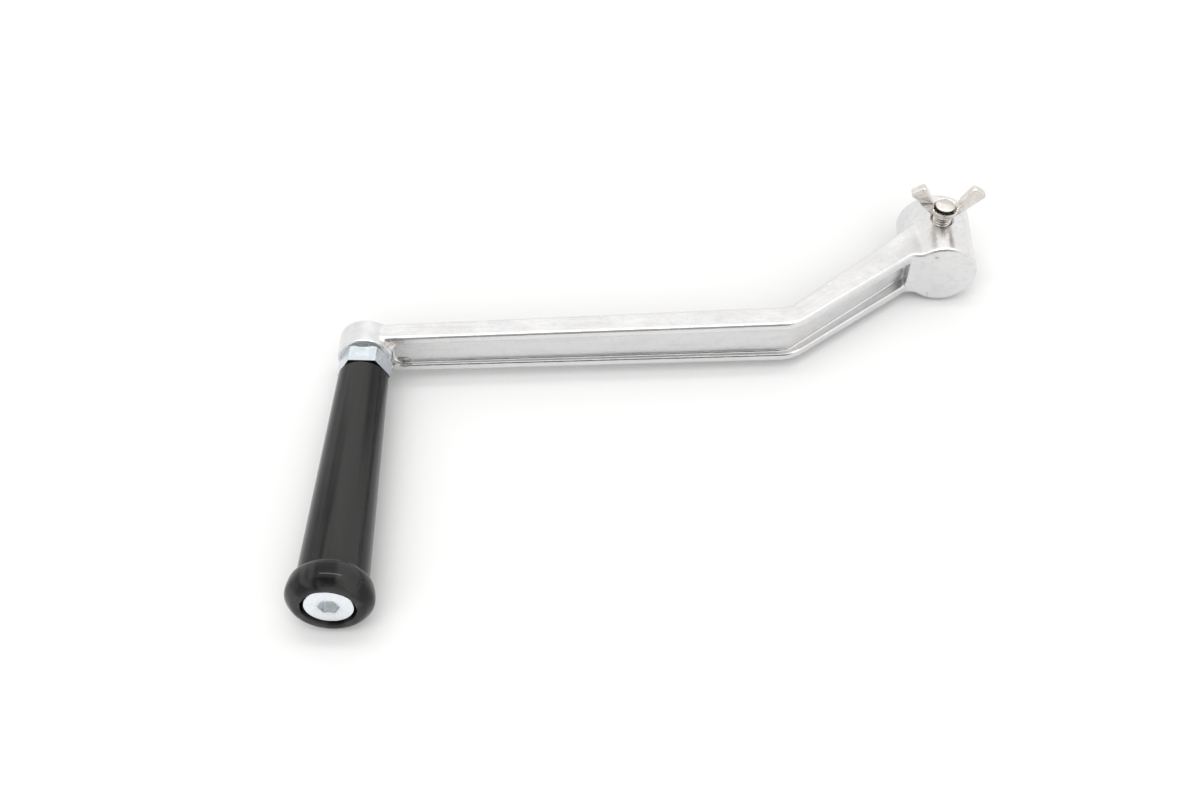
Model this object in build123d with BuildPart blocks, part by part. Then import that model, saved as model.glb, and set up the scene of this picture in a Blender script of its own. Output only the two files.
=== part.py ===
from build123d import *
import os

# Crank handle: a cast dog-legged arm with a turning grip at one end and a
# blind-bored hub with a winged clamp screw at the other.
# Millimetres. Origin: centre of the shaft bore's mouth, on the hub's rear face.
# +X runs away from the grip along the arm, +Y comes out of the bore,
# +Z is up, along the clamp screw.

# ---------------------------------------------------------------- dimensions
crank_radius = 234.3        # hub axis to grip axis, along X
hub_length = 33.4
hub_r_front = 14.4          # closed end
hub_r_rear = 15.4           # open end, larger by the draft
hub_rim_r = 1.2             # rounding of the open end
bore_r = 7.0
bore_depth = 26.0
front = -hub_length         # Y of the hub's closed front face

arm_half_boss = 9.6         # half height of the arm beside the grip boss
arm_half_hub = 11.05        # half height at the hub
web = 4.2                   # thickness of the web between the two recesses
strip_boss = 3.8            # flange width, height of arm less recess
strip_bend = 3.65
strip_hub = 4.8
flange_edge_r = 1.4         # rounding of the flanges' outer edges
recess_edge_r = 0.9         # and of their inner edges
recess_floor_r = 0.8
hub_blend_r = 4.0           # casting fillets where the arm runs into the hub
boss_blend_r = 3.0          # and into the grip boss

boss_r = 11.3
boss_front = front - 56.1
boss_rear = front - 44.6
thread_r = 6.0              # M12 in boss and nut

nut_af = 18.0
nut_front = front - 64.2

head_front = front - 171.5
head_r = 9.0
head_t = 4.8
socket_af = 7.0
socket_depth = 3.6
shank_r = 6.0

sleeve_end = front - 172.4
sleeve_tail = front - 64.9
sleeve_tail_r = 9.75
sleeve_body_r = 12.9
flare_r = 15.75
recess_r = 9.85             # counterbore round the spindle head
sleeve_bore_r = 6.08

screw_y = front + 19.3      # clamp screw axis
stud_r = 4.0                # M8
stud_tip = 7.25
stud_top = 22.1
tap_r = 4.06
tap_mouth_r = 5.9           # countersink of the tapped hole
wing_under = 17.3
wing_rim = 20.7
wing_boss_r = 5.75
wing_t = 3.8                # thickness of the wings

gx = -crank_radius
arm_slope = (arm_half_hub - arm_half_boss) / crank_radius
arm_half_bend = arm_half_hub - 66.0 * arm_slope

# Plan of the arm (X, Y from the hub's front face). The front line ends flush
# with the hub's front face.
plan_front = [(gx, -53.95), (-64.4, -41.0), (-13.75, 0.0), (0.0, 0.0)]
plan_rear = [(0.0, 30.4), (-66.8, -30.7), (gx, -45.55)]
mid = [(gx, -49.75), (-65.6, -35.85), (-5.0, 16.5)]
off = web / 2
front_floor = [(gx - 5, mid[0][1] - off - 0.6), (-66.9, mid[1][1] - off - 0.9), (-5.0, mid[2][1] - off * 1.32 - 0.4)]
rear_floor = [(gx - 5, mid[0][1] + off - 0.2), (-64.3, mid[1][1] + off + 0.3), (-5.0, mid[2][1] + off * 1.32 + 0.6)]


def shifted(points):
    return [(x, y + front) for x, y in points]


def along(points, x):
    pts = sorted(points)
    for (xa, ya), (xb, yb) in zip(pts, pts[1:]):
        if xa <= x <= xb:
            return ya + front + (yb - ya) * (x - xa) / (xb - xa)
    return pts[-1][1] + front


def front_line(x):
    return along(plan_front, x)


def rear_line(x):
    return along(plan_rear, x)


def off_cone(p, cx, r0, y0, r1, y1):
    r = r0 + (r1 - r0) * (p.Y - y0) / (y1 - y0)
    return abs(((p.X - cx) ** 2 + p.Z ** 2) ** 0.5 - r)


def on_hub(e):
    """A junction edge between the arm and the hub's side."""
    if any(off_cone(e.position_at(t), 0, hub_r_front, front, hub_r_rear, 0) > 0.02 for t in (0, 0.25, 0.5, 0.75, 1)):
        return False
    c = e.center()
    return c.X < 0 and abs(c.Y) > 0.01 and abs(c.Y - front) > 0.01


def on_boss(e):
    """A junction edge between the arm and the grip boss's side."""
    if any(off_cone(e.position_at(t), gx, boss_r - 0.15, boss_front, boss_r, boss_rear) > 0.02 for t in (0, 0.25, 0.5, 0.75, 1)):
        return False
    c = e.center()
    return c.X > gx and boss_front + 0.9 < c.Y < boss_rear - 0.9


def outer_front(e):
    """An outer edge along the arm's front, or the hub's front rim."""
    c = e.center()
    if abs(c.Y - front) < 0.02:
        return abs(c.Z) > 5
    return c.X < -13 and abs(c.Z) > 9 and abs(c.Y - front_line(c.X)) < 2.0 and e.bounding_box().size.X > 0.3


def outer_rear(e):
    c = e.center()
    return abs(c.Z) > 9 and abs(c.Y - rear_line(c.X)) < 2.0 and e.bounding_box().size.X > 0.3


def border(face_list):
    """The edges that bound a patch of faces."""
    es = [e for f in face_list for e in f.edges()]
    return [
        e
        for e in es
        if sum(1 for o in es if (o.center() - e.center()).length < 1e-4 and abs(o.length - e.length) < 1e-4) == 1
    ]


os.makedirs("parts", exist_ok=True)

# ---------------------------------------------------------------- crank arm
# Front and rear recesses of the I-section: plan outline from the web's face
# outwards, crossed with the window left between the two flanges, with the
# floor's corners rounded.
with BuildPart() as front_recess:
    with BuildSketch(Plane.XY.offset(-15)):
        with BuildLine():
            FilletPolyline(*shifted(front_floor), radius=14)
            Polyline(
                shifted(front_floor)[-1],
                (-5.0, front - 12.0),
                (-60.0, front - 70.0),
                (gx - 5, front - 75.0),
                shifted(front_floor)[0],
            )
        make_face()
    extrude(amount=30)
    with BuildSketch(Plane.XZ.offset(150)):
        with BuildLine():
            Polyline(
                (gx + 9.8, -(arm_half_boss - strip_boss)),
                (-66.0, -(arm_half_bend - strip_bend)),
                (-14.6, -(arm_half_hub - strip_hub)),
                (-14.6, arm_half_hub - strip_hub),
                (-66.0, arm_half_bend - strip_bend),
                (gx + 9.8, arm_half_boss - strip_boss),
                close=True,
            )
        make_face()
        fillet(vertices().group_by(Axis.X)[0], radius=4.2)
        fillet(vertices().group_by(Axis.X)[-1], radius=1.6)
        fillet(vertices().filter_by(lambda v: abs(v.X + 66.0) < 0.1), radius=60)
    extrude(amount=-200, mode=Mode.INTERSECT)
    fillet(border([f for f in faces() if f.normal_at().Y > 0.3]), radius=recess_floor_r)

with BuildPart() as rear_recess:
    with BuildSketch(Plane.XY.offset(-15)):
        with BuildLine():
            FilletPolyline(*shifted(rear_floor), radius=8)
            Polyline(
                shifted(rear_floor)[-1],
                (-5.0, front + 60.0),
                (gx - 5, front + 60.0),
                shifted(rear_floor)[0],
            )
        make_face()
    extrude(amount=30)
    with BuildSketch(Plane.XZ.offset(150)):
        with BuildLine():
            Polyline(
                (gx + 12.5, -(arm_half_boss - strip_boss)),
                (-66.0, -(arm_half_bend - strip_bend)),
                (-20.5, -(arm_half_hub - strip_hub)),
                (-20.5, arm_half_hub - strip_hub),
                (-66.0, arm_half_bend - strip_bend),
                (gx + 12.5, arm_half_boss - strip_boss),
                close=True,
            )
        make_face()
        fillet(vertices().group_by(Axis.X)[0], radius=4.2)
        fillet(vertices().group_by(Axis.X)[-1], radius=1.6)
        fillet(vertices().filter_by(lambda v: abs(v.X + 66.0) < 0.1), radius=60)
    extrude(amount=-200, mode=Mode.INTERSECT)
    fillet(border([f for f in faces() if f.normal_at().Y < -0.3]), radius=recess_floor_r)

with BuildPart() as crank_arm:
    # bar of the arm: plan outline crossed with its side height
    with BuildSketch(Plane.XY.offset(-20)):
        with BuildLine():
            FilletPolyline(*shifted(plan_front), radius=[16, 4])
            Line(shifted(plan_front)[-1], shifted(plan_rear)[0])
            FilletPolyline(*shifted(plan_rear), radius=7)
            Line(shifted(plan_rear)[-1], shifted(plan_front)[0])
        make_face()
    extrude(amount=40)
    with BuildSketch(Plane.XZ.offset(150)):
        with BuildLine():
            Polyline(
                (gx, -arm_half_boss),
                (0.0, -arm_half_hub),
                (0.0, arm_half_hub),
                (gx, arm_half_boss),
                close=True,
            )
        make_face()
    extrude(amount=-200, mode=Mode.INTERSECT)
    fillet(edges().filter_by(outer_rear), radius=flange_edge_r)
    # hub, smaller at its closed front end, blended into the arm
    with BuildSketch(Plane.XY):
        with BuildLine():
            Polyline((0, front), (hub_r_front, front), (hub_r_rear, 0), (0, 0), close=True)
        make_face()
    revolve(axis=Axis.Y)
    fillet(edges().filter_by(on_hub), radius=hub_blend_r)
    fillet(edges().filter_by(outer_front), radius=flange_edge_r)
    fillet(edges().filter_by(lambda e: abs(e.center().Y) < 0.01), radius=hub_rim_r)
    # grip boss, blended into the arm
    with BuildSketch(Plane.XY):
        with BuildLine():
            Polyline(
                (gx, boss_front),
                (gx + boss_r - 0.15, boss_front),
                (gx + boss_r, boss_rear - 0.8),
                (gx + boss_r - 0.6, boss_rear),
                (gx, boss_rear),
                close=True,
            )
        make_face()
        fillet(vertices().filter_by(lambda v: v.X > gx + 5 and v.Y < boss_front + 1), radius=0.8)
    revolve(axis=Axis((gx, 0, 0), (0, 1, 0)))
    fillet(edges().filter_by(on_boss), radius=boss_blend_r)
    # recesses, with the flanges' inner edges eased
    add(front_recess.part, mode=Mode.SUBTRACT)
    rim = edges(Select.LAST).filter_by(lambda e: e.center().Y < front_line(e.center().X) + 0.9)
    fillet(rim, radius=recess_edge_r)
    add(rear_recess.part, mode=Mode.SUBTRACT)
    rim = edges(Select.LAST).filter_by(lambda e: e.center().Y > rear_line(e.center().X) - 0.9)
    fillet(rim, radius=recess_edge_r)
    # threaded hole for the grip spindle, right through the boss
    with Locations(Plane(origin=(gx, boss_front, 0), x_dir=(1, 0, 0), z_dir=(0, -1, 0))):
        Hole(radius=thread_r)
    # shaft bore, blind from the rear
    with Locations(Plane(origin=(0, 0, 0), x_dir=(1, 0, 0), z_dir=(0, 1, 0))):
        Hole(radius=bore_r, depth=bore_depth)
    # tapped hole for the clamp screw, into the bore, countersunk at its mouth
    with BuildSketch(Plane(origin=(0, screw_y, 0), x_dir=(1, 0, 0), z_dir=(0, -1, 0))):
        with BuildLine():
            Polyline(
                (0, 2),
                (tap_r, 2),
                (tap_r, 15.0 - (tap_mouth_r - tap_r)),
                (tap_r + 4.0, 19.0 - (tap_mouth_r - tap_r)),
                (tap_r + 4.0, 20),
                (0, 20),
                close=True,
            )
        make_face()
    revolve(axis=Axis((0, screw_y, 0), (0, 0, 1)), mode=Mode.SUBTRACT)

crank_arm.part.label = "crank_arm"
export_step(crank_arm.part, "parts/crank_arm.step")

# ---------------------------------------------------------------- lock nut
with BuildPart() as lock_nut:
    with BuildSketch(Plane(origin=(gx, nut_front, 0), x_dir=(1, 0, 0), z_dir=(0, 1, 0))):
        RegularPolygon(radius=nut_af / 2, side_count=6, major_radius=False)
    extrude(amount=boss_front - nut_front)
    # corners turned off on the side towards the arm
    nut_corner = nut_af / 3 ** 0.5
    with BuildSketch(Plane.XY):
        with BuildLine():
            Polyline(
                (gx, nut_front),
                (gx + nut_corner + 0.01, nut_front),
                (gx + nut_corner + 0.01, boss_front - 1.0),
                (gx + nut_af / 2 - 0.25, boss_front),
                (gx, boss_front),
                close=True,
            )
        make_face()
    revolve(axis=Axis((gx, 0, 0), (0, 1, 0)), mode=Mode.INTERSECT)
    with Locations(Plane(origin=(gx, nut_front, 0), x_dir=(1, 0, 0), z_dir=(0, -1, 0))):
        Hole(radius=thread_r)
lock_nut.part.label = "lock_nut"
export_step(lock_nut.part, "parts/lock_nut.step")

# ---------------------------------------------------------------- grip spindle
with BuildPart() as grip_spindle:
    with BuildSketch(Plane.XY):
        with BuildLine():
            Polyline(
                (gx, head_front),
                (gx + head_r - 0.35, head_front),
                (gx + head_r, head_front + 0.35),
                (gx + head_r, head_front + head_t),
                (gx + shank_r, head_front + head_t),
                (gx + shank_r, nut_front - 0.35),
                (gx + thread_r - 0.05, nut_front - 0.35),
                (gx + thread_r - 0.05, boss_rear - 2.0),
                (gx + thread_r - 0.95, boss_rear - 1.1),
                (gx, boss_rear - 1.1),
                close=True,
            )
        make_face()
    revolve(axis=Axis((gx, 0, 0), (0, 1, 0)))
    # hexagon socket
    with BuildSketch(Plane(origin=(gx, head_front, 0), x_dir=(1, 0, 0), z_dir=(0, 1, 0))):
        RegularPolygon(radius=socket_af / 2, side_count=6, major_radius=False)
    extrude(amount=socket_depth, mode=Mode.SUBTRACT)
grip_spindle.part.label = "grip_spindle"
export_step(grip_spindle.part, "parts/grip_spindle.step")

# ---------------------------------------------------------------- grip sleeve
with BuildPart() as grip_sleeve:
    with BuildSketch(Plane.XY):
        with BuildLine():
            rim_pt = (gx + recess_r, sleeve_end + 0.25)
            Line((gx + recess_r + 0.25, sleeve_end), (gx + 11.2, sleeve_end))
            Spline(
                (gx + 11.2, sleeve_end),
                (gx + 14.35, sleeve_end + 1.75),
                (gx + flare_r, sleeve_end + 5.0),
                tangents=[(1, 0), (0, 1)],
            )
            Spline(
                (gx + flare_r, sleeve_end + 5.0),
                (gx + 15.35, sleeve_end + 8.2),
                (gx + 14.25, sleeve_end + 10.55),
                tangents=[(0, 1), (-0.75, 0.66)],
            )
            Polyline(
                (gx + 14.25, sleeve_end + 10.55),
                (gx + sleeve_body_r + 0.45, sleeve_end + 11.15),
                (gx + sleeve_body_r, sleeve_end + 12.0),
                (gx + sleeve_tail_r, sleeve_tail - 0.7),
                (gx + sleeve_tail_r - 0.7, sleeve_tail),
                (gx + sleeve_bore_r + 0.3, sleeve_tail),
                (gx + sleeve_bore_r, sleeve_tail - 0.3),
                (gx + sleeve_bore_r, head_front + head_t + 0.3),
                (gx + recess_r, head_front + head_t + 0.3),
                rim_pt,
                (gx + recess_r + 0.25, sleeve_end),
            )
        make_face()
    revolve(axis=Axis((gx, 0, 0), (0, 1, 0)))
grip_sleeve.part.label = "grip_sleeve"
export_step(grip_sleeve.part, "parts/grip_sleeve.step")

# ---------------------------------------------------------------- wing head
screw_axis = Axis((0, screw_y, 0), (0, 0, 1))
screw_plane = Plane(origin=(0, screw_y, 0), x_dir=(1, 0, 0), z_dir=(0, -1, 0))

with BuildPart() as wing_head:
    # two flat wings
    with BuildSketch(screw_plane):
        with BuildLine():
            Polyline(
                (2.0, wing_under + 0.4),
                (5.2, wing_under + 0.1),
                (9.4, 21.5),
                (16.0, 28.4),
                (10.1, 32.1),
                (5.7, 24.6),
                (4.7, wing_rim - 0.4),
                (2.0, wing_rim - 0.4),
                close=True,
            )
        make_face()
        fillet(vertices().sort_by(Axis.Y)[-2:], radius=1.3)
        fillet(vertices().filter_by(lambda v: abs(v.X - 9.4) < 0.01 or abs(v.X - 5.7) < 0.01), radius=5)
        mirror(about=Plane.YZ)
    extrude(amount=wing_t / 2, both=True)
    wing_edges = edges().filter_by(
        lambda e: e.center().Z > 18.0 and abs(e.center().X) > 5.2 and abs(e.center().Y - screw_y) > 1.0
    )
    fillet(wing_edges, radius=0.75)
    # round boss between them, tapering down to the stud
    with BuildSketch(screw_plane):
        with BuildLine():
            Polyline(
                (0, wing_under),
                (4.75, wing_under),
                (5.25, wing_under + 1.6),
                (wing_boss_r, wing_rim - 1.0),
                (wing_boss_r, wing_rim),
                (0, wing_rim),
                close=True,
            )
        make_face()
        fillet(vertices().filter_by(lambda v: v.X > 3 and v.Z > wing_rim - 0.5), radius=0.5)
    revolve(axis=screw_axis)
    # seat of the stud, countersunk round its end
    with BuildSketch(screw_plane):
        with BuildLine():
            Polyline(
                (0, wing_under - 1),
                (stud_r + 0.05, wing_under - 1),
                (stud_r + 0.05, wing_rim - 0.7),
                (stud_r + 0.55, wing_rim + 0.1),
                (stud_r + 0.55, wing_rim + 2),
                (0, wing_rim + 2),
                close=True,
            )
        make_face()
    revolve(axis=screw_axis, mode=Mode.SUBTRACT)
wing_head.part.label = "wing_head"
export_step(wing_head.part, "parts/wing_head.step")

# ---------------------------------------------------------------- clamp stud
with BuildPart() as clamp_stud:
    with BuildSketch(screw_plane):
        with BuildLine():
            Polyline(
                (0, stud_tip),
                (stud_r - 1.0, stud_tip),
                (stud_r, stud_tip + 1.0),
                (stud_r, stud_top - 0.6),
                (stud_r - 0.6, stud_top),
                (0, stud_top),
                close=True,
            )
        make_face()
    revolve(axis=screw_axis)
clamp_stud.part.label = "clamp_stud"
export_step(clamp_stud.part, "parts/clamp_stud.step")

for piece in (crank_arm, lock_nut, grip_spindle, grip_sleeve, wing_head, clamp_stud):
    print(piece.part.label, len(piece.part.solids()), round(piece.part.volume, 1), piece.part.is_valid)
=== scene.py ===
import math

import bpy
import bmesh
import numpy as np
from mathutils import Matrix, Vector, noise


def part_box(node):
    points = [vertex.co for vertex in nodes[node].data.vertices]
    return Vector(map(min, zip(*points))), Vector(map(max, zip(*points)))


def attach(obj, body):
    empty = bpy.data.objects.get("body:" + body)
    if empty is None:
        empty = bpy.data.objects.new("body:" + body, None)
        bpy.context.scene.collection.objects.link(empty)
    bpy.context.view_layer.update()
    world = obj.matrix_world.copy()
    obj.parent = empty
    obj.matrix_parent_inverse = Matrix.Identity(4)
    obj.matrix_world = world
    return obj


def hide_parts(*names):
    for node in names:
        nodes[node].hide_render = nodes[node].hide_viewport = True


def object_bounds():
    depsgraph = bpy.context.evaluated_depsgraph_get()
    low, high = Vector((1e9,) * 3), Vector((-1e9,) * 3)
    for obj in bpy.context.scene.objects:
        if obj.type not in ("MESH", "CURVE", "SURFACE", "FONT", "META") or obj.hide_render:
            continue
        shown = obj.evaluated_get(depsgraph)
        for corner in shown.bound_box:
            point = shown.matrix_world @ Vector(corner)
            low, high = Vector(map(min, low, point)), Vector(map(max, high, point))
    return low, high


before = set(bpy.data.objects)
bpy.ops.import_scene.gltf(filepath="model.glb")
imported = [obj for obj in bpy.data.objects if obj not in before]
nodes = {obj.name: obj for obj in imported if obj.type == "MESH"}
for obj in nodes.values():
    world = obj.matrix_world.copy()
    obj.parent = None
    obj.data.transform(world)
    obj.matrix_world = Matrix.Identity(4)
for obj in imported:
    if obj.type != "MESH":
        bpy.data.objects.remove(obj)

cad_lo, cad_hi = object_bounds()
MM = 0.001

HUB_FRONT = -0.0334          # Y of the hub's front face in the row frame
GX = -0.2343                 # X of the grip's axis
SCREW_Y = HUB_FRONT + 0.0193


# ------------------------------------------------------------------ camera
def make_camera():
    yaw, pitch, roll = (math.radians(v) for v in (0.657, 48.726, 1.831))
    fwd = Vector((math.sin(yaw) * math.cos(pitch), math.cos(yaw) * math.cos(pitch), -math.sin(pitch)))
    right = Vector((math.cos(yaw), -math.sin(yaw), 0.0))
    up = right.cross(fwd)
    r2 = right * math.cos(roll) + up * math.sin(roll)
    u2 = -right * math.sin(roll) + up * math.cos(roll)
    cam = bpy.data.cameras.new("camera")
    cam.sensor_fit = "HORIZONTAL"
    cam.sensor_width = 36.0
    cam.lens = 36.0 * 1545.67 / 1200.0
    cam.clip_start, cam.clip_end = 0.01, 50.0
    ob = bpy.data.objects.new("camera", cam)
    bpy.context.scene.collection.objects.link(ob)
    ob.matrix_world = Matrix((
        (r2.x, u2.x, -fwd.x, -0.146619),
        (r2.y, u2.y, -fwd.y, -0.467413 + HUB_FRONT),
        (r2.z, u2.z, -fwd.z, 0.448368),
        (0, 0, 0, 1),
    ))
    bpy.context.scene.camera = ob
    return ob


camera = make_camera()


# ------------------------------------------------------------------ node helpers
class Graph:
    """Short forms for building a procedural material."""

    def __init__(self, name):
        self.mat = bpy.data.materials.new(name)
        self.mat.use_nodes = True
        self.nt = self.mat.node_tree
        self.nt.nodes.clear()
        out = self.nt.nodes.new("ShaderNodeOutputMaterial")
        self.bsdf = self.nt.nodes.new("ShaderNodeBsdfPrincipled")
        self.link(self.bsdf.outputs[0], out.inputs[0])
        self.obj = self.nt.nodes.new("ShaderNodeTexCoord").outputs["Object"]

    def link(self, a, b):
        self.nt.links.new(a, b)

    def put(self, socket, value):
        if hasattr(value, "is_output"):
            self.link(value, socket)
        else:
            socket.default_value = value

    def mapped(self, scale=(1, 1, 1), rot=(0, 0, 0), loc=(0, 0, 0), vec=None):
        n = self.nt.nodes.new("ShaderNodeMapping")
        self.link(vec or self.obj, n.inputs["Vector"])
        n.inputs["Scale"].default_value = scale
        n.inputs["Rotation"].default_value = rot
        n.inputs["Location"].default_value = loc
        return n.outputs[0]

    def noise(self, scale, detail=3.0, rough=0.5, vec=None, distort=0.0):
        n = self.nt.nodes.new("ShaderNodeTexNoise")
        self.link(vec or self.obj, n.inputs["Vector"])
        n.inputs["Scale"].default_value = scale
        n.inputs["Detail"].default_value = detail
        n.inputs["Roughness"].default_value = rough
        n.inputs["Distortion"].default_value = distort
        return n.outputs[0]

    def cells(self, scale, vec=None):
        n = self.nt.nodes.new("ShaderNodeTexVoronoi")
        self.link(vec or self.obj, n.inputs["Vector"])
        n.inputs["Scale"].default_value = scale
        return n.outputs["Distance"]

    def math(self, op, a, b=0.0, c=0.0, clamp=False):
        n = self.nt.nodes.new("ShaderNodeMath")
        n.operation = op
        n.use_clamp = clamp
        self.put(n.inputs[0], a)
        self.put(n.inputs[1], b)
        self.put(n.inputs[2], c)
        return n.outputs[0]

    def ramp(self, v, lo, hi, a=0.0, b=1.0, smooth=True):
        n = self.nt.nodes.new("ShaderNodeMapRange")
        n.interpolation_type = "SMOOTHSTEP" if smooth else "LINEAR"
        self.put(n.inputs["Value"], v)
        n.inputs["From Min"].default_value = lo
        n.inputs["From Max"].default_value = hi
        n.inputs["To Min"].default_value = a
        n.inputs["To Max"].default_value = b
        return n.outputs[0]

    def mix(self, f, a, b):
        n = self.nt.nodes.new("ShaderNodeMix")
        n.data_type = "RGBA"
        self.put(n.inputs[0], f)
        for s, v in ((n.inputs[6], a), (n.inputs[7], b)):
            if hasattr(v, "is_output"):
                self.link(v, s)
            else:
                s.default_value = (v[0], v[1], v[2], 1)
        return n.outputs[2]

    def xyz(self):
        n = self.nt.nodes.new("ShaderNodeSeparateXYZ")
        self.link(self.obj, n.inputs[0])
        return n.outputs

    def ball(self, centre, radii, wobble=None, amount=0.0, core=0.7):
        """1 inside an ellipsoid round centre, fading to 0 at its edge."""
        v = self.mapped(scale=tuple(1 / r for r in radii), loc=tuple(-c / r for c, r in zip(centre, radii)))
        n = self.nt.nodes.new("ShaderNodeVectorMath")
        n.operation = "LENGTH"
        self.link(v, n.inputs[0])
        d = n.outputs["Value"]
        if wobble is not None:
            d = self.math("MULTIPLY_ADD", self.math("SUBTRACT", wobble, 0.5), amount, d)
        return self.ramp(d, core, 1.05, 1.0, 0.0)

    def bump(self, height, strength, distance, normal=None):
        n = self.nt.nodes.new("ShaderNodeBump")
        n.inputs["Strength"].default_value = strength
        n.inputs["Distance"].default_value = distance
        self.link(height, n.inputs["Height"])
        if normal is not None:
            self.link(normal, n.inputs["Normal"])
        return n.outputs[0]


def assign(ob, mat):
    if not ob.material_slots:
        ob.data.materials.append(mat)
    for s in ob.material_slots:
        s.material = mat


# ------------------------------------------------------------------ stage
def make_floor():
    z = cad_lo.z - 0.00005
    bm = bmesh.new()
    for x, y in ((-6, -6), (6, -6), (6, 6), (-6, 6)):
        bm.verts.new((x, y, z))
    bm.faces.new(bm.verts)
    me = bpy.data.meshes.new("floor")
    bm.to_mesh(me)
    bm.free()
    ob = bpy.data.objects.new("floor", me)
    bpy.context.scene.collection.objects.link(ob)
    g = Graph("floor_white")
    g.bsdf.inputs["Base Color"].default_value = (0.42, 0.42, 0.42, 1)
    g.bsdf.inputs["Roughness"].default_value = 0.45
    g.bsdf.inputs["Specular IOR Level"].default_value = 0.25
    assign(ob, g.mat)


make_floor()


def area(name, loc, target, size, power, size_y=None):
    li = bpy.data.lights.new(name, "AREA")
    li.energy = power
    li.size = size
    if size_y:
        li.shape = "RECTANGLE"
        li.size_y = size_y
    ob = bpy.data.objects.new(name, li)
    bpy.context.scene.collection.objects.link(ob)
    ob.location = loc
    d = Vector(target) - Vector(loc)
    ob.rotation_mode = "QUATERNION"
    ob.rotation_quaternion = d.to_track_quat("-Z", "Y")
    return ob


def make_world():
    """A soft studio: bright overhead and behind, dim on the side of the room the camera stands in."""
    world = bpy.data.worlds.new("studio")
    bpy.context.scene.world = world
    world.use_nodes = True
    nt = world.node_tree
    bg = nt.nodes["Background"]
    tc = nt.nodes.new("ShaderNodeTexCoord")
    sep = nt.nodes.new("ShaderNodeSeparateXYZ")
    nt.links.new(tc.outputs["Generated"], sep.inputs[0])

    def mr(v, lo, hi, a, b):
        n = nt.nodes.new("ShaderNodeMapRange")
        n.interpolation_type = "SMOOTHSTEP"
        nt.links.new(v, n.inputs["Value"])
        for k, x in (("From Min", lo), ("From Max", hi), ("To Min", a), ("To Max", b)):
            n.inputs[k].default_value = x
        return n.outputs[0]

    def mul(a, b):
        n = nt.nodes.new("ShaderNodeMath")
        n.operation = "MULTIPLY"
        nt.links.new(a, n.inputs[0])
        nt.links.new(b, n.inputs[1])
        return n.outputs[0]

    def sub(a, b):
        n = nt.nodes.new("ShaderNodeMath")
        n.operation = "SUBTRACT"
        n.inputs[0].default_value = a
        nt.links.new(b, n.inputs[1])
        return n.outputs[0]

    sq = nt.nodes.new("ShaderNodeMath")
    sq.operation = "ABSOLUTE"
    nt.links.new(sep.outputs[0], sq.inputs[0])
    up = mr(sep.outputs[2], 0.62, 0.97, 1.10, 1.7)
    near = mr(sep.outputs[1], -0.56, -0.26, 0.64, 0.0)
    middle = mr(sq.outputs[0], 0.34, 0.62, 1.0, 0.0)
    nt.links.new(mul(up, sub(1.0, mul(near, middle))), bg.inputs[1])
    bg.inputs[0].default_value = (1.0, 0.995, 0.985, 1)


make_world()
area("key_top", (-0.12, 0.10, 1.5), (-0.12, -0.05, 0), 1.5, 8.5, 0.2)


def front_fill():
    """Broad soft light from the camera's side that opens the shadows on the floor."""
    li = bpy.data.lights.new("front_fill", "SUN")
    li.energy = 4.6
    li.angle = math.radians(75)
    ob = bpy.data.objects.new("front_fill", li)
    bpy.context.scene.collection.objects.link(ob)
    ob.rotation_mode = "QUATERNION"
    ob.rotation_quaternion = Vector((0.05, 0.70, -0.71)).to_track_quat("-Z", "Y")
    ob.visible_glossy = False


front_fill()
bpy.context.scene.view_settings.view_transform = "Standard"


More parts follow.
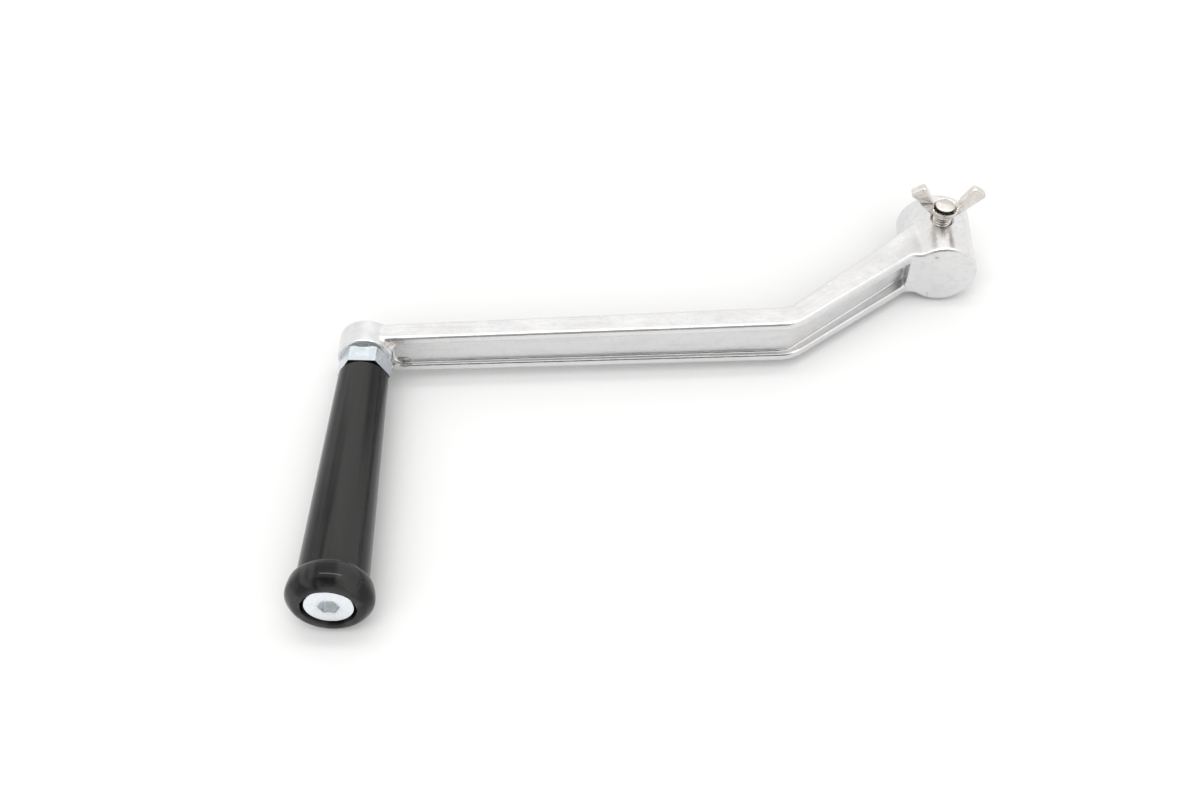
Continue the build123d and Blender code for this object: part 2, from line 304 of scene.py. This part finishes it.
# ------------------------------------------------------------------ materials
def cast_aluminium():
    """Tumbled die-cast aluminium: cloudy reflections, a cooler and a warmer grey, fine grain, small pits and handling marks; duller and coarser in the recesses."""
    g = Graph("cast_aluminium")
    x, y, z = g.xyz()
    clouds = g.noise(75, 4, 0.55)
    mottle = g.noise(330, 5, 0.6, distort=0.4)
    fine = g.noise(1500, 4, 0.6)
    grain = g.noise(5200, 2, 0.5)
    lengthwise = g.mapped(scale=(26, 420, 420))
    turned = g.mapped(scale=(26, 420, 420), vec=g.mapped(rot=(0, 0, math.radians(-39))))
    bent = g.ramp(x, -0.0670, -0.0630)
    streak = g.math(
        "ADD",
        g.math("MULTIPLY", g.noise(1.0, 3, 0.55, vec=lengthwise), g.math("SUBTRACT", 1.0, bent)),
        g.math("MULTIPLY", g.noise(1.0, 3, 0.55, vec=turned), bent),
    )
    tint = g.noise(40, 2, 0.5, vec=g.mapped(loc=(0.3, 0.1, 0.2)))

    # recess floors, as cast
    inside = g.ramp(g.math("ABSOLUTE", z), 0.0052, 0.0064, 1.0, 0.0)
    along = g.ramp(x, -0.0175, -0.0150, 1.0, 0.0)
    past = g.ramp(x, GX + 0.0120, GX + 0.0135)
    web = g.math("MULTIPLY", g.math("MULTIPLY", inside, along), past)

    # pits and specks
    speck = g.ramp(g.cells(620), 0.05, 0.15, 1.0, 0.0)
    sparse = g.ramp(g.noise(190, 2, 0.5, vec=g.mapped(loc=(0.7, 0.2, 0.9))), 0.56, 0.66)
    pits = g.math("MULTIPLY", speck, sparse)

    # fine scratches in two directions
    s1 = g.ramp(g.noise(1.0, 1, 0.4, vec=g.mapped(scale=(160, 160, 5200), rot=(0.3, 0.5, 0.2))), 0.71, 0.76)
    s2 = g.ramp(g.noise(1.0, 1, 0.4, vec=g.mapped(scale=(4600, 220, 220), rot=(-0.4, 0.2, -0.5))), 0.72, 0.77)
    scratch = g.math("MAXIMUM", s1, s2)

    # rough casting mark in the recess's corner beside the boss; painted dark reflection on the top front edge under the
    # boss blend
    spot = g.ball((GX + 0.0143, HUB_FRONT - 0.0532, -0.0046), (0.0034, 0.0040, 0.0026), mottle, 1.6)
    boss_edge_dark_reflection = g.ball((GX + 0.0111, HUB_FRONT - 0.0545, 0.0080), (0.0062, 0.0050, 0.0019), mottle, 1.0)
    mark = g.ball((-0.0039, HUB_FRONT, 0.0097), (0.0011, 0.0012, 0.0007), fine, 1.2)
    nick = g.ball((-0.0042, HUB_FRONT, -0.0112), (0.0003, 0.0012, 0.0013), fine, 0.6)
    broken = g.ramp(g.noise(620, 3, 0.65, vec=g.mapped(loc=(0.4, 0.8, 0.1))), 0.40, 0.58, 0.25, 1.0)
    patch = g.ball((GX + 0.0151, HUB_FRONT - 0.0532, -0.0043), (0.0016, 0.0045, 0.0010), mottle, 0.8)
    spot = g.math("MULTIPLY", spot, g.math("SUBTRACT", 1.0, g.math("MULTIPLY", patch, 0.9)))
    dark = g.math("MAXIMUM", g.math("MULTIPLY", g.math("MULTIPLY", spot, 0.85), broken), g.math("MULTIPLY", mark, 0.45))
    dark = g.math("MAXIMUM", dark, g.math("MULTIPLY", nick, 0.45))

    base = g.mix(tint, (0.715, 0.70, 0.685), (0.69, 0.70, 0.72))
    base = g.mix(g.ramp(clouds, 0.35, 0.70, 0.0, 0.5), base, (0.78, 0.78, 0.785))
    base = g.mix(g.ramp(mottle, 0.50, 0.75, 0.0, 0.32), base, (0.56, 0.55, 0.545))
    base = g.mix(g.ramp(streak, 0.46, 0.70, 0.0, 0.28), base, (0.57, 0.565, 0.56))
    base = g.mix(g.math("MULTIPLY", web, g.ramp(fine, 0.40, 0.66, 0.04, 0.30)), base, (0.60, 0.60, 0.605))
    # painted light: the recess's end beside the hub is painted lighter, and made rougher, to lift its dark reflection
    end = g.ball((-0.0165, HUB_FRONT + 0.0035, -0.0010), (0.0130, 0.0140, 0.0090), clouds, 0.4, core=0.2)
    facing = g.ramp(g.math("MULTIPLY_ADD", x, -0.864, y), HUB_FRONT + 0.0200, HUB_FRONT + 0.0214, 1.0, 0.0)
    end = g.math("MULTIPLY", g.math("MULTIPLY", end, web), facing)
    base = g.mix(g.math("MULTIPLY", end, 0.85), base, (0.96, 0.96, 0.96))
    base = g.mix(g.math("MULTIPLY", pits, 0.55), base, (0.30, 0.29, 0.28))
    base = g.mix(g.math("MULTIPLY", scratch, 0.20), base, (0.96, 0.96, 0.96))
    # painted dark reflection: brownish dark patch on the top front edge beside the boss
    base = g.mix(g.math("MULTIPLY", boss_edge_dark_reflection, g.ramp(fine, 0.35, 0.62, 0.25, 0.75)), base, (0.36, 0.31, 0.265))
    base = g.mix(dark, base, (0.19, 0.175, 0.16))
    # painted dark reflection along the lower flange's rounded upper edge, on the straight part only
    nrm = g.nt.nodes.new("ShaderNodeSeparateXYZ")
    g.link(g.nt.nodes["Texture Coordinate"].outputs["Normal"], nrm.inputs[0])
    lean = g.math("MULTIPLY", g.ramp(nrm.outputs[2], 0.22, 0.42), g.ramp(nrm.outputs[2], 0.74, 0.90, 1.0, 0.0))
    lean = g.math("MULTIPLY", lean, g.ramp(nrm.outputs[1], -0.30, -0.20, 1.0, 0.0))
    low = g.math("MULTIPLY", g.ramp(z, -0.0056, -0.0052, 1.0, 0.0), g.ramp(z, -0.0090, -0.0085))
    low = g.math("MULTIPLY", low, g.math("MULTIPLY", g.math("SUBTRACT", 1.0, bent), past))
    # painted dark reflection: the rounded edge's camera-facing band is darkened in the base colour
    flange_edge_dark_reflection = g.math("MULTIPLY", g.math("MULTIPLY", lean, low), g.ramp(mottle, 0.35, 0.60, 0.45, 0.9))
    base = g.mix(flange_edge_dark_reflection, base, (0.26, 0.26, 0.265))
    # the casting fillet between arm and hub is less polished than the flats
    fillet = g.ball((-0.0140, HUB_FRONT + 0.0050, 0.0110), (0.0170, 0.0170, 0.0100), clouds, 0.5, core=0.05)
    g.link(base, g.bsdf.inputs["Base Color"])
    g.bsdf.inputs["Metallic"].default_value = 1.0

    r = g.ramp(clouds, 0.30, 0.72, 0.15, 0.25)
    r = g.math("MULTIPLY_ADD", fillet, 0.20, r)
    r = g.math("MULTIPLY_ADD", g.math("SUBTRACT", mottle, 0.5), 0.12, r)
    r = g.math("MULTIPLY_ADD", web, 0.15, r)
    r = g.math("MULTIPLY_ADD", end, 0.32, r)
    r = g.math("MULTIPLY_ADD", g.math("SUBTRACT", streak, 0.5), 0.10, r)
    r = g.math("MULTIPLY_ADD", spot, 0.35, r)
    r = g.math("MULTIPLY_ADD", pits, 0.15, r, clamp=True)
    g.link(r, g.bsdf.inputs["Roughness"])

    wave = g.bump(clouds, 0.35, 0.0009)
    n = g.bump(mottle, 0.22, 0.00022, wave)
    h = g.math("MULTIPLY_ADD", grain, 0.35, fine)
    h = g.math("MULTIPLY", h, g.math("MULTIPLY_ADD", web, 0.8, 1.0))
    h = g.math("MULTIPLY_ADD", g.math("MULTIPLY", spot, mottle), 14.0, h)
    h = g.math("SUBTRACT", h, g.math("MULTIPLY", pits, 0.9))
    h = g.math("SUBTRACT", h, g.math("MULTIPLY", scratch, 0.35))
    n = g.bump(h, 0.22, 0.00006, n)
    g.link(n, g.bsdf.inputs["Normal"])
    return g.mat


def black_plastic():
    """Gloss black moulded grip with faint lengthwise flow, hairlines, a little dust and painted lengthwise sheen bands.
    """
    g = Graph("black_plastic")
    flow = g.noise(1.0, 3, 0.5, vec=g.mapped(scale=(420, 14, 420)))
    soft = g.noise(120, 3, 0.5)
    fine = g.noise(2600, 3, 0.5)
    hair = g.ramp(g.noise(1.0, 1, 0.4, vec=g.mapped(scale=(3600, 90, 3600), rot=(0.12, 0.0, 0.35))), 0.73, 0.77)
    dust = g.math(
        "MULTIPLY",
        g.ramp(g.cells(900), 0.04, 0.11, 1.0, 0.0),
        g.ramp(g.noise(260, 2, 0.5), 0.60, 0.68),
    )
    # painted sheen: soft lengthwise bands of lighter black in the base colour
    painted_sheen_bands = g.noise(1.0, 2, 0.5, vec=g.mapped(scale=(165, 2.5, 165), loc=(0.35, 0.0, 0.6)))
    base = g.mix(g.ramp(soft, 0.35, 0.70), (0.0020, 0.0020, 0.0022), (0.0045, 0.0043, 0.0042))
    base = g.mix(g.ramp(painted_sheen_bands, 0.40, 0.62), base, (0.0165, 0.0160, 0.0158))
    base = g.mix(g.math("MULTIPLY", dust, 0.5), base, (0.22, 0.21, 0.20))
    g.link(base, g.bsdf.inputs["Base Color"])
    g.bsdf.inputs["IOR"].default_value = 1.5
    g.bsdf.inputs["Specular IOR Level"].default_value = 0.22
    r = g.ramp(flow, 0.30, 0.70, 0.05, 0.11)
    r = g.math("MULTIPLY_ADD", g.math("SUBTRACT", soft, 0.5), 0.10, r)
    r = g.math("MULTIPLY_ADD", hair, 0.14, r)
    r = g.math("MULTIPLY_ADD", dust, 0.4, r, clamp=True)
    g.link(r, g.bsdf.inputs["Roughness"])
    n = g.bump(flow, 0.25, 0.00012)
    n = g.bump(soft, 0.20, 0.0003, n)
    n = g.bump(g.math("SUBTRACT", fine, g.math("MULTIPLY", hair, 0.4)), 0.10, 0.00003, n)
    g.link(n, g.bsdf.inputs["Normal"])
    return g.mat


def zinc(name, lathe):
    """Bright blue-white zinc over machined steel; the head also has a rough, scuffed socket, with painted light inside
    it.
    """
    g = Graph(name)
    x, y, z = g.xyz()
    cloud = g.noise(210, 4, 0.6)
    fine = g.noise(2300, 4, 0.6)
    streak = g.noise(1.0, 2, 0.5, vec=g.mapped(scale=(300, 6500, 300)))
    dull, clean = ((0.80, 0.85, 0.885), (0.88, 0.90, 0.91)) if lathe else ((0.58, 0.635, 0.675), (0.69, 0.735, 0.765))
    base = g.mix(g.ramp(cloud, 0.35, 0.68), dull, clean)
    base = g.mix(g.ramp(fine, 0.58, 0.74, 0.0, 0.35), base, (0.60, 0.64, 0.67))
    r = g.ramp(cloud, 0.30, 0.70, 0.16, 0.30)
    h = g.math("MULTIPLY_ADD", streak, 0.9, fine)
    if lathe:
        # turned face: rings round the axis
        v = g.mapped(loc=(-GX, 0, 0))
        n = g.nt.nodes.new("ShaderNodeTexWave")
        n.wave_type = "RINGS"
        n.rings_direction = "Y"
        g.link(v, n.inputs["Vector"])
        n.inputs["Scale"].default_value = 620
        n.inputs["Distortion"].default_value = 2.0
        n.inputs["Detail"].default_value = 2.0
        n.inputs["Detail Scale"].default_value = 1.5
        rings = n.outputs["Fac"] if "Fac" in n.outputs else n.outputs[1]
        h = g.math("MULTIPLY_ADD", rings, 0.35, h)
        scuff = g.noise(520, 3, 0.6)
        head = g.ball((GX, HUB_FRONT - 0.1715, 0), (0.0054, 0.0012, 0.0054), scuff, 1.5)
        # painted light: the inside of the socket is painted pale and made rough to lift its shade
        socket_painted_light = g.ball((GX, HUB_FRONT - 0.1695, 0), (0.0044, 0.0021, 0.0044))
        base = g.mix(g.math("MULTIPLY", head, g.ramp(scuff, 0.42, 0.58, 0.0, 0.62)), base, (0.50, 0.54, 0.57))
        base = g.mix(socket_painted_light, base, (0.93, 0.95, 0.96))
        r = g.math("MULTIPLY_ADD", head, 0.14, r)
        r = g.math("MULTIPLY_ADD", socket_painted_light, 0.40, r, clamp=True)
        h = g.math("MULTIPLY_ADD", g.math("MULTIPLY", head, scuff), 7.0, h)
    g.link(base, g.bsdf.inputs["Base Color"])
    g.bsdf.inputs["Metallic"].default_value = 1.0
    g.link(r, g.bsdf.inputs["Roughness"])
    n = g.bump(cloud, 0.20, 0.00025)
    n = g.bump(h, 0.20, 0.00005, n)
    g.link(n, g.bsdf.inputs["Normal"])
    return g.mat


def nickel(name, painted_stud_shade=False):
    """Plain nickel-plated forging: warm grey, softly dimpled; on the stud, painted shade darkens the thread roots, its
    far side and the gap round its end, most on the front-left side.
    """
    g = Graph(name)
    cloud = g.noise(260, 4, 0.6)
    fine = g.noise(2400, 4, 0.6)
    big = g.noise(110, 2, 0.5)
    base = g.mix(g.ramp(cloud, 0.35, 0.68), (0.66, 0.62, 0.585), (0.77, 0.74, 0.70))
    base = g.mix(g.ramp(fine, 0.55, 0.75, 0.0, 0.45), base, (0.42, 0.385, 0.35))
    pits = g.math(
        "MULTIPLY",
        g.ramp(g.cells(1300), 0.05, 0.16, 1.0, 0.0),
        g.ramp(g.noise(420, 2, 0.5), 0.50, 0.62),
    )
    base = g.mix(g.math("MULTIPLY", pits, 0.5), base, (0.25, 0.22, 0.20))
    r = g.ramp(cloud, 0.30, 0.70, 0.20, 0.34)
    r = g.math("MULTIPLY_ADD", pits, 0.2, r)
    if painted_stud_shade:
        x, y, z = g.xyz()
        dx = x
        dy = g.math("SUBTRACT", y, SCREW_Y)
        rad = g.math("SQRT", g.math("ADD", g.math("MULTIPLY", dx, dx), g.math("MULTIPLY", dy, dy)))
        # painted shade in the gap between the stud's end and the wing's seat, strongest on the front-left side
        rim = g.math("MULTIPLY", g.ramp(rad, 0.00366, 0.00380), g.math("MULTIPLY", g.ramp(z, 0.0192, 0.0198), g.ramp(z, 0.02128, 0.02158, 1.0, 0.0)))
        side = g.ramp(g.math("ADD", g.math("MULTIPLY", dx, -0.7), g.math("MULTIPLY", dy, -1.0)), -0.0030, 0.0012, 0.25, 1.0)
        gap_shade = g.math("MULTIPLY", rim, g.math("MULTIPLY", side, g.ramp(cloud, 0.25, 0.50, 0.75, 1.0)))
        # painted shade in the thread roots below the wing head
        thread_root_shade = g.math("MULTIPLY", g.ramp(rad, 0.00342, 0.00362, 1.0, 0.0), g.ramp(z, 0.0186, 0.0192, 1.0, 0.0))
        base = g.mix(g.math("MULTIPLY", thread_root_shade, 0.85), base, (0.075, 0.065, 0.058))
        # painted shade: the stud's far side is darker
        far_side_shade = g.ramp(g.math("ADD", dy, g.math("MULTIPLY", dx, 0.5)), -0.0012, 0.0022)
        base = g.mix(g.math("MULTIPLY", far_side_shade, 0.35), base, (0.44, 0.42, 0.40))
        base = g.mix(gap_shade, base, (0.035, 0.030, 0.027))
        r = g.math("MULTIPLY_ADD", gap_shade, 0.25, r, clamp=True)
    g.link(base, g.bsdf.inputs["Base Color"])
    g.bsdf.inputs["Metallic"].default_value = 1.0
    g.link(r, g.bsdf.inputs["Roughness"])
    n = g.bump(big, 0.5, 0.0007)
    n = g.bump(cloud, 0.30, 0.0003, n)
    n = g.bump(g.math("SUBTRACT", fine, pits), 0.28, 0.00006, n)
    g.link(n, g.bsdf.inputs["Normal"])
    return g.mat


assign(nodes["crank_arm"], cast_aluminium())
assign(nodes["grip_sleeve"], black_plastic())
assign(nodes["grip_spindle"], zinc("zinc_turned", True))
assign(nodes["lock_nut"], zinc("zinc_nut", False))


# ------------------------------------------------------------------ threaded stud
def make_stud():
    """M8 x 1.25 stud of the clamp screw: a right-hand helical thread under a slightly domed end."""
    lo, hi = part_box("clamp_stud")
    z0, z1 = lo[2], hi[2]
    pitch = 0.00125
    r_crest, r_root = 0.00396, 0.00327
    seg = 96
    run = 0.9 * pitch                       # first turns fade in at each end
    zs = np.arange(z0 + 0.0004, z1 - 0.00235, pitch / 12)
    bm = bmesh.new()
    rings = []

    def ring(z, rad):
        vs = []
        for i in range(seg):
            a = 2 * math.pi * i / seg
            r = rad(a)
            vs.append(bm.verts.new((r * math.cos(a), SCREW_Y + r * math.sin(a), z)))
        return vs

    def thread(z):
        end = min(1.0, (z - z0) / run, max(0.0, (z1 - 0.0023 - z)) / run)

        def rad(a):
            t = ((z - z0) / pitch - a / (2 * math.pi)) % 1.0
            w = abs(2 * t - 1)              # 1 on the crest, 0 in the root
            w = min(1.0, max(0.0, (w - 0.16) / 0.70))
            low = r_root + (1 - max(0.0, end)) * 0.0002
            top = r_crest - (1 - max(0.0, end)) * 0.0004
            return low + (top - low) * w
        return rad

    rings.append(ring(z0, lambda a: 0.0027))
    for z in zs:
        rings.append(ring(float(z), thread(float(z))))
    for z, r in (
        (z1 - 0.00220, 0.00394), (z1 - 0.00070, 0.00397), (z1 - 0.00038, 0.00395), (z1 - 0.00027, 0.00387),
        (z1 - 0.00021, 0.00368), (z1 - 0.00015, 0.0032), (z1 - 0.00008, 0.0024), (z1 - 0.00003, 0.0012),
    ):
        rings.append(ring(z, lambda a, r=r, z=z: r * (1 + 0.006 * noise.noise(Vector((3 * math.cos(a), 3 * math.sin(a), 900 * z))))))
    for a, b in zip(rings, rings[1:]):
        for i in range(seg):
            j = (i + 1) % seg
            bm.faces.new((a[i], a[j], b[j], b[i]))
    c0 = bm.verts.new((0, SCREW_Y, z0))
    c1 = bm.verts.new((0, SCREW_Y, z1))
    for i in range(seg):
        j = (i + 1) % seg
        bm.faces.new((rings[0][j], rings[0][i], c0))
        bm.faces.new((rings[-1][i], rings[-1][j], c1))
    bmesh.ops.recalc_face_normals(bm, faces=bm.faces)
    for f in bm.faces:
        f.smooth = True
    me = bpy.data.meshes.new("stud_threaded")
    bm.to_mesh(me)
    bm.free()
    ob = bpy.data.objects.new("stud_threaded", me)
    bpy.context.scene.collection.objects.link(ob)
    return ob


stud = make_stud()
assign(stud, nickel("nickel_stud", painted_stud_shade=True))
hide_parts("clamp_stud")
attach(stud, "wing")


# ------------------------------------------------------------------ wing head
def lathe(name, outline, centre, axis="Z", seg=64):
    """Closed ring turned from an outline of (radius, height) points."""
    bm = bmesh.new()
    rings = []
    for r, h in outline:
        vs = []
        for i in range(seg):
            a = 2 * math.pi * i / seg
            c, s = r * math.cos(a), r * math.sin(a)
            p = (c, s, h) if axis == "Z" else (h, c, s)
            vs.append(bm.verts.new(Vector(p) + Vector(centre)))
        rings.append(vs)
    for a, b in zip(rings, rings[1:] + rings[:1]):
        for i in range(seg):
            j = (i + 1) % seg
            bm.faces.new((a[i], a[j], b[j], b[i]))
    bmesh.ops.recalc_face_normals(bm, faces=bm.faces)
    me = bpy.data.meshes.new(name)
    bm.to_mesh(me)
    bm.free()
    ob = bpy.data.objects.new(name, me)
    bpy.context.scene.collection.objects.link(ob)
    return ob


def make_wing_head():
    """The pressed wing head: a seat dished round the stud's end and a hollow across each wing's root."""
    src = nodes["wing_head"]
    me = src.data.copy()
    me.transform(src.matrix_world)
    ob = bpy.data.objects.new("wing_head_pressed", me)
    bpy.context.scene.collection.objects.link(ob)
    bm = bmesh.new()
    bm.from_mesh(me)
    bmesh.ops.remove_doubles(bm, verts=bm.verts, dist=2e-6)
    bm.to_mesh(me)
    bm.free()
    lo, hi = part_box("wing_head")
    rim = 0.0207
    half = 0.0019
    tools = [
        lathe("cut_seat", [(0.00370, -0.0007), (0.00440, -0.0007), (0.00480, 0.0006), (0.00370, 0.0006)], (0, SCREW_Y, rim)),
        lathe("cut_left", [(0.0001, -0.0028), (0.0016, -0.0028), (0.0016, 0.0040), (0.0001, 0.0040)], (-0.0098, SCREW_Y - half - 0.00100, 0.0231), "X", 48),
        lathe("cut_right", [(0.0001, -0.0040), (0.0016, -0.0040), (0.0016, 0.0028), (0.0001, 0.0028)], (0.0098, SCREW_Y + half + 0.00100, 0.0231), "X", 48),
    ]
    for t in tools:
        m = ob.modifiers.new(t.name, "BOOLEAN")
        m.operation = "DIFFERENCE"
        m.solver = "EXACT"
        m.object = t
    bpy.context.view_layer.update()
    done = bpy.data.meshes.new_from_object(ob.evaluated_get(bpy.context.evaluated_depsgraph_get()))
    ob.modifiers.clear()
    if len(done.polygons) > 200:
        ob.data = done
    for t in tools:
        bpy.data.objects.remove(t)
    for p in ob.data.polygons:
        p.use_smooth = True
    ob.data.set_sharp_from_angle(angle=math.radians(32))
    print("wing head polygons", len(me.polygons), len(done.polygons))
    return ob


wing = make_wing_head()
wing.data.materials.clear()
assign(wing, nickel("nickel_steel"))
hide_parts("wing_head")
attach(wing, "wing")
